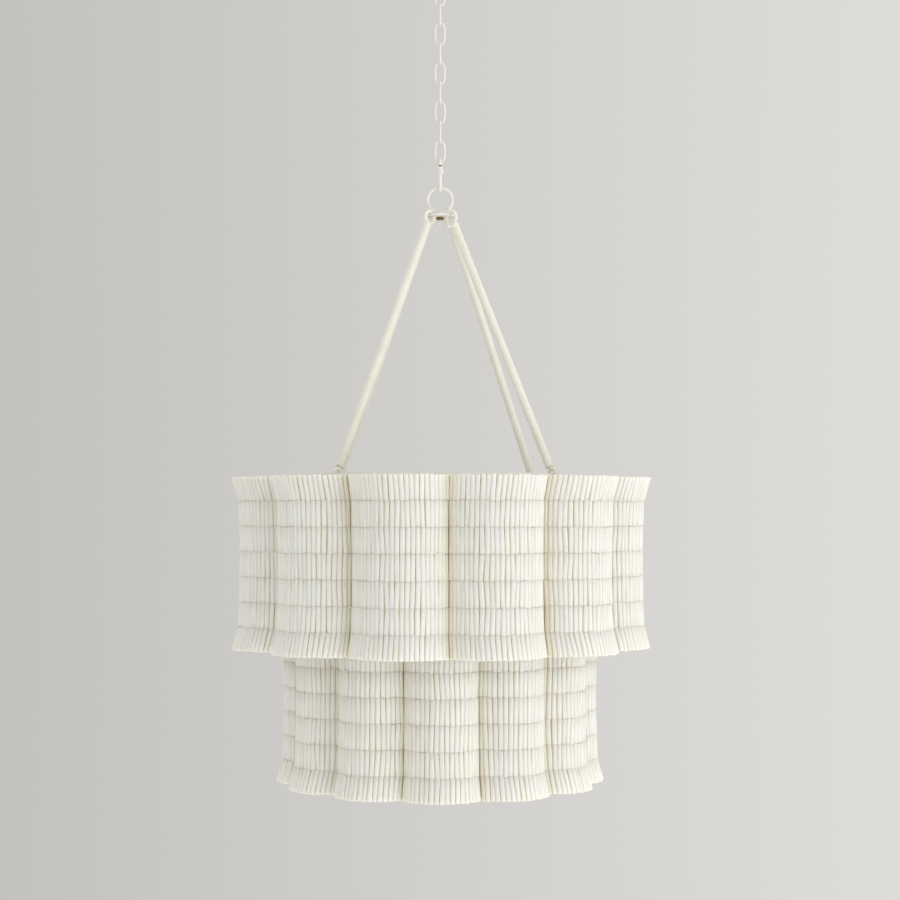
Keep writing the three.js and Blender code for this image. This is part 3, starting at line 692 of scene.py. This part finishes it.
carrier_radius = 0.210
carrier_wire = 0.006
carrier_rise = 0.0014
spoke_wire = 0.005
spoke_count = 6
weld_gap = 0.0003
carrier_height = tiers["upper"]["rim_high"] + carrier_rise
spoke_low = tiers["upper"]["rim_high"] - wire_from_rim
spoke_reach = wire_reach(tiers["upper"]) - shade_wire / 2 - weld_gap
hoop = wire_ring(carrier_height, carrier_radius, carrier_wire, 96, up=(0, 1, 0))
spoke_angles = [index * math.tau / spoke_count for index in range(spoke_count)]
spokes = drawn_wire([[around(carrier_radius, angle, carrier_height), around(spoke_reach, angle, spoke_low)]
                     for angle in spoke_angles], spoke_wire / 2)
painted("carrier_hoop", "carrier_ring", hoop, spokes)

drop_wire = 0.005
drop_count = 4
for index in range(drop_count):
    wire_low, wire_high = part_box(f"drop_wire_{index + 1}")
    angle = tiers["lower"]["turn"] + index * math.tau / drop_count + math.tau / lobe_count
    line = [around(carrier_radius, angle, wire_high.z), around(wire_reach(tiers["lower"]), angle, wire_low.z)]
    painted(f"drop_stay_{index + 1}", f"drop_wire_{index + 1}", drawn_wire([line], drop_wire / 2))


# Hub: a standing steel ring welded to a short tapped foot, and a flat ring with a cross bar below it
# that the rods' eyes hook on. Both are powder coated white.
def lathe(profile, steps=48, closed=False):
    """A mesh turned about the upright axis from [radius, height] points."""
    on_axis = 1e-7
    corners, faces, rings = [], [], []
    for radius, height in profile:
        if radius < on_axis:
            rings.append([len(corners)] * steps)
            corners.append((0, 0, height))
            continue
        rings.append(list(range(len(corners), len(corners) + steps)))
        corners += [tuple(around(radius, step * math.tau / steps, height)) for step in range(steps)]
    above = rings[1:] + rings[:1] if closed else rings[1:]
    for lower, upper in zip(rings, above):
        for step in range(steps):
            after = (step + 1) % steps
            face = [lower[step], lower[after], upper[after], upper[step]]
            face = [corner for place, corner in enumerate(face) if corner not in face[:place]]
            if len(face) > 2:
                faces.append(face)
    mesh = bpy.data.meshes.new("lathe")
    mesh.from_pydata(corners, [], faces)
    mesh.update()
    return mesh


def soften(profile, radius, closed=False, steps=3):
    """The same profile with its corners rounded."""
    most_of_a_side = 0.45
    points = [Vector(point) for point in profile]
    smooth = []
    for index, point in enumerate(points):
        if not closed and index in (0, len(points) - 1):
            smooth.append(tuple(point))
            continue
        before, after = points[index - 1] - point, points[(index + 1) % len(points)] - point
        reach = min(radius, before.length * most_of_a_side, after.length * most_of_a_side)
        first, last = point + before.normalized() * reach, point + after.normalized() * reach
        for step in range(steps + 1):
            share = step / steps
            bend = first * (1 - share) ** 2 + point * 2 * share * (1 - share) + last * share ** 2
            smooth.append(tuple(bend))
    return smooth


def moved_mesh(mesh, matrix):
    mesh.transform(matrix)
    return mesh


def block(width, depth, height, centre, edge):
    """A box with rounded edges."""
    shape = bmesh.new()
    bmesh.ops.create_cube(shape, size=1, matrix=Matrix.Diagonal((width, depth, height, 1)))
    bmesh.ops.bevel(shape, geom=shape.edges[:], offset=edge, segments=3, affect="EDGES", profile=0.7)
    bmesh.ops.translate(shape, verts=shape.verts, vec=centre)
    mesh = bpy.data.meshes.new("block")
    shape.to_mesh(mesh)
    shape.free()
    return mesh


hub_wire = 0.0046
hub_radius = 0.0203
foot_radius = 0.005
foot_edge = 0.0009
foot_in_wire = 0.9
weld_edge = 0.0006
weld_out, weld_down, weld_middle, weld_up = 0.0008, 0.0012, 0.0006, 0.0009
weld_top_share = 0.8
hub_low, hub_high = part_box("hub_ring")
hub_centre = hub_high.z - hub_radius
foot_top = hub_centre - hub_radius + hub_wire * foot_in_wire
standing = wire_ring(hub_centre, hub_radius - hub_wire / 2, hub_wire, 64)
foot = lathe(soften([(0, foot_top), (foot_radius, foot_top), (foot_radius, hub_low.z), (0, hub_low.z)],
                    foot_edge), 32)
weld = lathe(soften([(foot_radius, foot_top - weld_down), (foot_radius + weld_out, foot_top - weld_middle),
                     (foot_radius * weld_top_share, foot_top + weld_up), (0, foot_top + weld_up)],
                    weld_edge), 32)
painted("hub_standing_ring", "hub_ring", standing, foot, weld)

lying_radius = 0.020
lying_wire = 0.004
bar_width = 0.012
bar_thickness = 0.003
bar_edge = 0.0006
lying_low, lying_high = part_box("hub_lying_ring")
lying_height = (lying_low.z + lying_high.z) / 2
flat_ring = wire_ring(lying_height, lying_radius, lying_wire, 64, up=(0, 1, 0))
cross_bar = block(2 * lying_radius, bar_width, bar_thickness, (0, 0, lying_height), bar_edge)
painted("hub_flat_ring", "hub_lying_ring", flat_ring, cross_bar)


# Hub bolt: an aged brass socket screw, driven up through the cross bar into the foot. A short stub
# of thin white wire is caught under its head.
aged_brass = finish_of(
    "aged_brass", low=(0.13, 0.075, 0.02, 1), high=(0.42, 0.27, 0.09, 1), roughness=(0.25, 0.45),
    bump=0.00004, cloud_size=0.004, grain_size=0.0003, seed=4.0, metallic=1.0)
head_radius = 0.0054
head_height = 0.004
shank_radius = 0.0025
drive_radius = 0.0019
drive_depth = 0.0016
bolt_edge = 0.0012
bolt_low, bolt_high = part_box("hub_bolt")
head_top = bolt_low.z + head_height
drive_floor = bolt_low.z + drive_depth
shell = lathe(soften([(0, drive_floor), (drive_radius, drive_floor), (drive_radius, bolt_low.z),
                      (head_radius, bolt_low.z), (head_radius, head_top), (shank_radius, head_top),
                      (shank_radius, bolt_high.z), (0, bolt_high.z)], bolt_edge), 32)
dress(make_piece("brass_bolt", aged_brass, [shell]), "brass", "hub_bolt")
stub_radius = 0.0015
# Places of the stub's points: to the side, to the front, and up from the underside of the head
stub_line = [(across, ahead, bolt_low.z + rise) for across, ahead, rise in (
    (0, -0.002, 0.0005), (-0.0014, -0.003, -0.0045), (-0.0046, -0.004, -0.0110), (-0.0086, -0.0045, -0.0175))]
stub = make_piece("wire_stub", white_paint, [drawn_wire([stub_line], stub_radius)])
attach(stub, "shade")


# Rods: four steel wires with a closed eye at each end, each wrapped in fine cream cotton cord from
# eye to eye. The turns lie side by side, and a whipped band of a few more turns holds each end.
cream_cord = finish_of(
    "cream_cord", low=(0.835, 0.81, 0.715, 1), high=(0.875, 0.86, 0.785, 1), roughness=(0.78, 0.92),
    bump=0.00006, cloud_size=0.03, grain_size=0.0005, seed=5.0)
rod_count = 4
rod_wire = 0.0036
rod_head = 0.020
rod_run = 0.190
rod_drop = 0.378
rod_length = math.hypot(rod_run, rod_drop)
rod_lean = math.atan2(rod_run, rod_drop)
upper_eye, upper_eye_radius = -0.0047, 0.0088
lower_eye, lower_eye_radius = 0.0017 - rod_length, 0.0068
wrap_gap = 0.0012
wrap_radius = 0.006
band_radius = 0.0066
band_length = 0.005
cord_radius = 0.0008
cord_slack = 0.0003
cord_sides = 6
steps_per_turn = 14
turn_spacing = 0.94
slack_scale = 60.0
wrap_top = upper_eye - upper_eye_radius - rod_wire / 2 - wrap_gap
wrap_low = lower_eye + lower_eye_radius + rod_wire / 2 + wrap_gap

winding, start, end = geometry_tree(
    "wound_cord", Float=("Radius", "Length", "Low", "Cord Radius", "Slack"), Material=("Finish",))
thickness = Field(winding, start.outputs["Cord Radius"]) * 2.0
stretch = Field(winding, start.outputs["Length"]) - thickness
reach = Field(winding, start.outputs["Radius"]) - start.outputs["Cord Radius"]
helix = add(winding, "GeometryNodeCurveSpiral", {"Resolution": steps_per_turn, "Start Radius": reach,
            "End Radius": reach, "Height": stretch, "Rotations": stretch / (thickness * turn_spacing)})
uneven = add(winding, "ShaderNodeTexNoise", {"Vector": position(winding), "Scale": slack_scale,
             "Detail": 1.0})
wander = vector_step(winding, "SUBTRACT", uneven.outputs["Color"], (0.5, 0.5, 0.5))
settled = position(winding)
for shift in (vector_step(winding, "SCALE", wander, start.outputs["Slack"]),
              upward(winding, Field(winding, start.outputs["Low"]) + start.outputs["Cord Radius"])):
    settled = vector_step(winding, "ADD", settled, shift)
laid = moved_to(winding, helix, settled)
end_tree(winding, round_sweep(winding, laid, start.outputs["Cord Radius"], cord_sides, caps=True),
         start, end)


def wind(radius, low, high):
    """The mesh of one stretch of cord, wound round the upright axis."""
    coil = grow("coil", winding, radius=radius, length=high - low, low=low, cord_radius=cord_radius,
                slack=cord_slack, finish=cream_cord)
    mesh = coil.data
    bpy.data.objects.remove(coil)
    return mesh


def corded_ring(height, radius, thickness, turns, steps=4, sides=8):
    """A ring that stands in the rod's plane, wound closely with cord, so each turn is a ridge."""
    groove_share = 0.35
    corners, faces = [], []
    count = turns * steps
    for step in range(count):
        round_angle = step * math.tau / count
        reach = thickness - cord_radius * groove_share * (1 - math.cos(step * math.tau / steps))
        out = Vector((math.cos(round_angle), 0, math.sin(round_angle)))
        here, after = step * sides, (step + 1) % count * sides
        for side in range(sides):
            turn = side * math.tau / sides
            spot = out * (radius + reach * math.cos(turn)) + Vector((0, reach * math.sin(turn), height))
            corners.append(tuple(spot))
            beside = (side + 1) % sides
            faces.append((here + side, here + beside, after + beside, after + side))
    mesh = bpy.data.meshes.new("corded_ring")
    mesh.from_pydata(corners, [], faces)
    mesh.update()
    return mesh


eye_cord_radius = 0.0028
eye_cord_turns = 36
for index in range(rod_count):
    angle = (index + 0.5) * math.tau / rod_count
    stand = (Matrix.Translation(around(rod_head, angle, lying_height)) @ Matrix.Rotation(angle, 4, "Z")
             @ Matrix.Rotation(-rod_lean, 4, "Y"))
    straight = [(0, 0, upper_eye - upper_eye_radius), (0, 0, lower_eye + lower_eye_radius)]
    eyes = [wire_ring(upper_eye, upper_eye_radius, rod_wire, 40),
            wire_ring(lower_eye, lower_eye_radius, rod_wire, 36), drawn_wire([straight], rod_wire / 2)]
    painted(f"rod_eyes_{index + 1}", f"rod_core_{index + 1}", *(moved_mesh(mesh, stand) for mesh in eyes))
    inside = wrap_radius - cord_radius
    sleeve = lathe([(0, wrap_low + cord_radius), (inside, wrap_low + cord_radius),
                    (inside, wrap_top - cord_radius), (0, wrap_top - cord_radius)], 20)
    cords = [sleeve, wind(wrap_radius, wrap_low, wrap_top),
             wind(band_radius, wrap_low, wrap_low + band_length),
             wind(band_radius, wrap_top - band_length, wrap_top),
             corded_ring(upper_eye, upper_eye_radius, eye_cord_radius, eye_cord_turns),
             corded_ring(lower_eye, lower_eye_radius, eye_cord_radius, eye_cord_turns)]
    wrap = make_piece(f"rod_cord_{index + 1}", cream_cord, [moved_mesh(mesh, stand) for mesh in cords])
    dress(wrap, "cream_wrap", f"rod_wrap_{index + 1}")


# Chain: nine oval links bent from steel wire, welded closed and powder coated white. Every other
# link is turned a quarter, and each one hangs on the bottom of the link above it.
def oval(width, length, steps, across, centre, squareness=2.6):
    """A closed line round a link: an oval with fuller sides than an ellipse."""
    line = []
    for step in range(steps):
        angle = math.tau * (step + 0.5) / steps
        aside = math.copysign(abs(math.cos(angle)) ** (2 / squareness), math.cos(angle)) * width / 2
        climb = math.copysign(abs(math.sin(angle)) ** (2 / squareness), math.sin(angle)) * length / 2
        line.append(Vector(across) * aside + Vector((0, 0, centre + climb)))
    return line


link_count = 9
link_length = 0.0346
link_width = 0.0167
link_wire = 0.00295
for index in range(link_count):
    link_low, link_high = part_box(f"chain_link_{index + 1}")
    across = ((1, 0, 0), (0, 1, 0))[index % 2]
    line = oval(link_width - link_wire, link_length - link_wire, 56, across, (link_low.z + link_high.z) / 2)
    link = drawn_wire([line], link_wire / 2, closed=True)
    painted(f"oval_link_{index + 1}", f"chain_link_{index + 1}", link)


# Quick link: a longer oval of thicker wire, open on one side, with a ridged sleeve nut screwed over
# the opening. A little of the opening shows above the nut. Both are powder coated white.
quick_length = 0.0504
quick_width = 0.0212
quick_wire = 0.0046
quick_side = (quick_width - quick_wire) / 2
gap_shown = 0.0014
gap_height = 0.008
front = Vector((0, -1, 0))


def front_side(*heights):
    """A straight line on the quick link's front side, through these heights."""
    return [front * quick_side + Vector((0, 0, height)) for height in heights]


nut_low, nut_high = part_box("quick_link_nut")
quick_low, quick_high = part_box("quick_link")
gap_top = nut_high.z + gap_shown
middle = (quick_low.z + quick_high.z) / 2
straight = (quick_length - quick_width) / 2
line = front_side(gap_top, gap_top - gap_height)
line[1:1] = (arc_points((0, 0, middle + straight), quick_side, 0, math.pi, 20, across=front)
             + arc_points((0, 0, middle - straight), quick_side, math.pi, math.tau, 20, across=front))
painted("open_link", "quick_link", drawn_wire([line], quick_wire / 2, sides=16))

thread_end_radius = 0.0018
thread_hidden = 0.0005
thread_shown = 0.0012
screw = drawn_wire([front_side(nut_low.z, gap_top + thread_hidden)], thread_end_radius)
thread_end = make_piece("threaded_end", aged_brass, [screw])
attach(thread_end, "quick_link")

ridge_count = 5
nut_radius = 0.0044
nut_play = 0.0003
groove_depth = 0.0006
ridge_foot = 0.0001
ridge_end, groove_start, groove_end = 1.3, 1.4, 1.9
nut_bore = quick_wire / 2 + nut_play
nut_top = nut_high.z - thread_shown
half_ridge = (nut_top - nut_low.z) / (2 * ridge_count)
profile = [(nut_bore, nut_low.z)]
for ridge in range(ridge_count):
    bottom = nut_low.z + 2 * ridge * half_ridge
    profile += [(nut_radius, bottom + ridge_foot), (nut_radius, bottom + half_ridge * ridge_end),
                (nut_radius - groove_depth, bottom + half_ridge * groove_start),
                (nut_radius - groove_depth, bottom + half_ridge * groove_end)]
profile[-1:] = [(nut_radius - groove_depth, nut_top), (nut_bore, nut_top)]
nut = moved_mesh(lathe(profile, 28, closed=True), Matrix.Translation(front * quick_side))
painted("sleeve_nut", "quick_link_nut", nut)


# Canopy: a spun steel dome that covers the ceiling box, held up by a knurled ring nut on the barrel
# of the loop that the chain hangs on. All three are powder coated white.
canopy_low, canopy_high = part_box("canopy")
canopy_radius = 0.0635
canopy_flat = 0.019
canopy_wall = 0.0012
canopy_hole = 0.0112
dome_steps = 24


def dome_line(wall):
    """The dome's profile from the rim to the flat, this far inside its outer face."""
    line = []
    for step in range(dome_steps + 1):
        angle = step / dome_steps * math.pi / 2
        line.append((canopy_flat + (canopy_radius - canopy_flat - wall) * math.cos(angle),
                     canopy_high.z - (canopy_high.z - canopy_low.z - wall) * math.sin(angle)))
    return line


hole_edge = [(canopy_hole, canopy_low.z), (canopy_hole, canopy_low.z + canopy_wall)]
profile = dome_line(0) + hole_edge + dome_line(canopy_wall)[::-1]
painted("canopy_dome", "canopy", lathe(profile, 96, closed=True))

collar_low, collar_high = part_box("canopy_collar")
collar_radius = 0.016
collar_edge = 0.0012
knurl_count = 54
knurl_depth = 0.0005
knurl_over_edge = 0.3
knurl_angle = math.radians(25)
profile = soften([(canopy_hole, collar_low.z), (collar_radius, collar_low.z), (collar_radius, collar_high.z),
                  (canopy_hole, collar_high.z)], collar_edge, closed=True)
knurled = lathe(profile, 2 * knurl_count, closed=True)
for number, vertex in enumerate(knurled.vertices):
    outermost = vertex.co.xy.length > collar_radius - collar_edge * knurl_over_edge
    if outermost and number % 2:
        vertex.co.xy *= 1 - knurl_depth / collar_radius
dress(make_piece("knurled_collar", white_paint, [knurled], knurl_angle), "white_paint", "canopy_collar")

loop_low, loop_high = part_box("canopy_loop")
barrel_radius = 0.0107
barrel_low = -0.0393
floor_thickness = 0.004
barrel_floor = barrel_low + floor_thickness
barrel_edge = 0.0008
nipple_bore = 0.0053
loop_wire = 0.0038
loop_radius = barrel_radius - loop_wire / 2
loop_centre = loop_low.z + barrel_radius
barrel = lathe(soften([(0, barrel_low), (barrel_radius, barrel_low), (barrel_radius, loop_high.z),
                       (nipple_bore, loop_high.z), (nipple_bore, barrel_floor), (0, barrel_floor)],
                      barrel_edge), 48)
eye = wire_ring(loop_centre, loop_radius, loop_wire, 48, across=(0, 1, 0))
painted("hanging_loop", "canopy_loop", barrel, eye)


# Ceiling strap and threaded nipple: a pressed steel bar, screwed to the ceiling box, and the brass
# threaded pipe that joins its boss to the loop. They sit inside the canopy.
plated_steel = finish_of(
    "plated_steel", low=(0.62, 0.60, 0.55, 1), high=(0.74, 0.72, 0.66, 1), roughness=(0.35, 0.55),
    bump=0.00004, cloud_size=0.02, grain_size=0.0006, seed=6.0)
for node, material in (("ceiling_strap", plated_steel), ("threaded_nipple", aged_brass)):
    frame["nodes"][node].data.materials[0] = material


# Lamp holder: a round steel wiring box with a cable inlet on top, a plate under it for four lamp
# sockets, and four welded arms out to the carrier ring. It is powder coated white.
arm_wire = 0.005
arm_count = 4
box_radius = 0.026
box_height = 0.026
box_wall = 0.0016
box_edge = 0.001
inlet_radius = 0.005
plate_radius = 0.062
plate_thickness = 0.003
plate_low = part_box("lamp_holder")[0].z
box_low = plate_low + plate_thickness
box_top = box_low + box_height
shell = lathe(soften([(0, plate_low), (plate_radius, plate_low), (plate_radius, box_low),
                      (box_radius, box_low), (box_radius, box_top), (inlet_radius, box_top),
                      (inlet_radius, box_top - box_wall), (box_radius - box_wall, box_top - box_wall),
                      (box_radius - box_wall, box_low), (0, box_low)], box_edge), 64)
arm_reach = carrier_radius - carrier_wire / 2 - weld_gap
arm_angles = [index * math.tau / arm_count for index in range(arm_count)]
arms = drawn_wire([[around(box_radius - box_wall / 2, angle, carrier_height),
                    around(arm_reach, angle, carrier_height)] for angle in arm_angles], arm_wire / 2)
painted("wiring_box", "lamp_holder", shell, arms)


# Lamps: four candelabra sockets of glazed porcelain, open downwards, each with a brass screw base
# and a frosted glass torpedo bulb.
porcelain = finish_of(
    "glazed_porcelain", low=(0.86, 0.85, 0.81, 1), high=(0.90, 0.895, 0.87, 1), roughness=(0.12, 0.2),
    bump=0.00002, cloud_size=0.02, grain_size=0.0015, seed=7.0)
frosted_glass = finish_of(
    "frosted_glass", low=(0.90, 0.88, 0.82, 1), high=(0.93, 0.92, 0.88, 1), roughness=(0.22, 0.34),
    bump=0.00002, cloud_size=0.02, grain_size=0.0008, seed=8.0)
frosted_glass.node_tree.nodes["Principled BSDF"].inputs["Transmission Weight"].default_value = 0.35
lamp_count = 4
lamp_ring = 0.042
socket_radius = 0.012
socket_bore = 0.0064
socket_edge = 0.0012
socket_play = 0.0003
glass_radius = 0.0175
glass_length = 0.076
# The bulb from its tip up to its neck, in shares of the glass's radius and of its length
bulb_shape = [(0.0, 1.0), (0.16, 0.985), (0.34, 0.93), (0.52, 0.85), (0.72, 0.75), (0.88, 0.64), (0.97, 0.53),
              (1.0, 0.42), (0.97, 0.33), (0.88, 0.24), (0.72, 0.16), (0.55, 0.09), (0.42, 0.04), (0.335, 0.0),
              (0.0, 0.0)]
base_radius = 0.0059
base_length = 0.024
base_overlap = 0.001
base_collar = 0.002
thread_count = 6
thread_depth = 0.0006
plain_length = 0.006
thread_pitch = (base_length - plain_length) / thread_count
groove_start, groove_end, crest_start = 0.25, 0.45, 0.75
contact_height = 0.001
contact_low_share, contact_top_share = 0.45, 0.4
for index in range(lamp_count):
    angle = (index + 0.5) * math.tau / lamp_count
    seat = Matrix.Translation(around(lamp_ring, angle, 0))
    cup_low, cup_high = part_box(f"lamp_socket_{index + 1}")
    bulb_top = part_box(f"lamp_bulb_{index + 1}")[1].z
    cup_floor = bulb_top + socket_play
    cup = lathe(soften([(0, cup_floor), (socket_bore, cup_floor), (socket_bore, cup_low.z),
                        (socket_radius, cup_low.z), (socket_radius, cup_high.z), (0, cup_high.z)],
                       socket_edge), 40)
    piece = make_piece(f"porcelain_socket_{index + 1}", porcelain, [moved_mesh(cup, seat)])
    dress(piece, "white_porcelain", f"lamp_socket_{index + 1}")
    shoulder = bulb_top - base_length
    envelope = lathe([(wide * glass_radius, shoulder - deep * glass_length) for wide, deep in bulb_shape], 40)
    piece = make_piece(f"glass_bulb_{index + 1}", frosted_glass, [moved_mesh(envelope, seat)])
    dress(piece, "lamp_glass", f"lamp_bulb_{index + 1}")
    profile = [(0, shoulder - base_overlap), (base_radius, shoulder - base_overlap),
               (base_radius, shoulder + base_collar)]
    for turn in range(thread_count):
        bottom = shoulder + base_collar + turn * thread_pitch
        profile += [(base_radius - thread_depth, bottom + thread_pitch * groove_start),
                    (base_radius - thread_depth, bottom + thread_pitch * groove_end),
                    (base_radius, bottom + thread_pitch * crest_start), (base_radius, bottom + thread_pitch)]
    profile += [(base_radius * contact_low_share, bulb_top - contact_height),
                (base_radius * contact_top_share, bulb_top), (0, bulb_top)]
    piece = make_piece(f"bulb_base_{index + 1}", aged_brass, [moved_mesh(lathe(profile, 32), seat)])
    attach(piece, f"bulb_{index + 1}")
